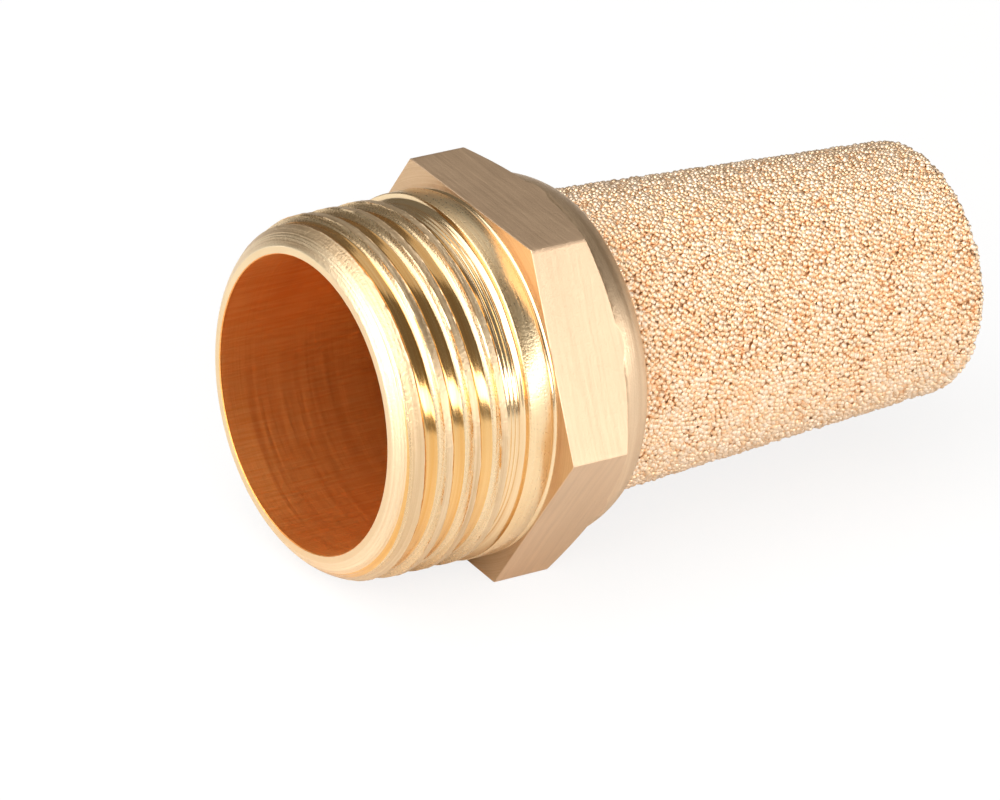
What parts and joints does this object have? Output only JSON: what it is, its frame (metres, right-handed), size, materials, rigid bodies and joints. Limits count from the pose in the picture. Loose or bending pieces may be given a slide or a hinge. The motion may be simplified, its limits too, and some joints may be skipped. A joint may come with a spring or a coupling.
{
  "type": "pneumatic muffler",
  "caption": "Exhaust muffler: brass body with a male pipe thread, hexagon and domed collar, holding a tapered, closed cup of porous sintered bronze.",
  "frame": {"origin": "on the muffler's axis, in the plane of the hexagon's seating face, where the male thread's plain band ends", "axes": "+X along the axis, from the open threaded end towards the closed end of the porous cup; +Z square to one of the hexagon's flats; +Y towards a corner of the hexagon"},
  "size_m": [0.0421, 0.0242, 0.021],
  "materials": {
    "turned_brass": "turned, with fine tool marks",
    "sintered_bronze": "porous, of bright granules fused together"
  },
  "bodies": {
    "root": {"threaded_hex_body": "turned_brass", "sintered_bronze_element": "sintered_bronze"}
  },
  "joints": []
}
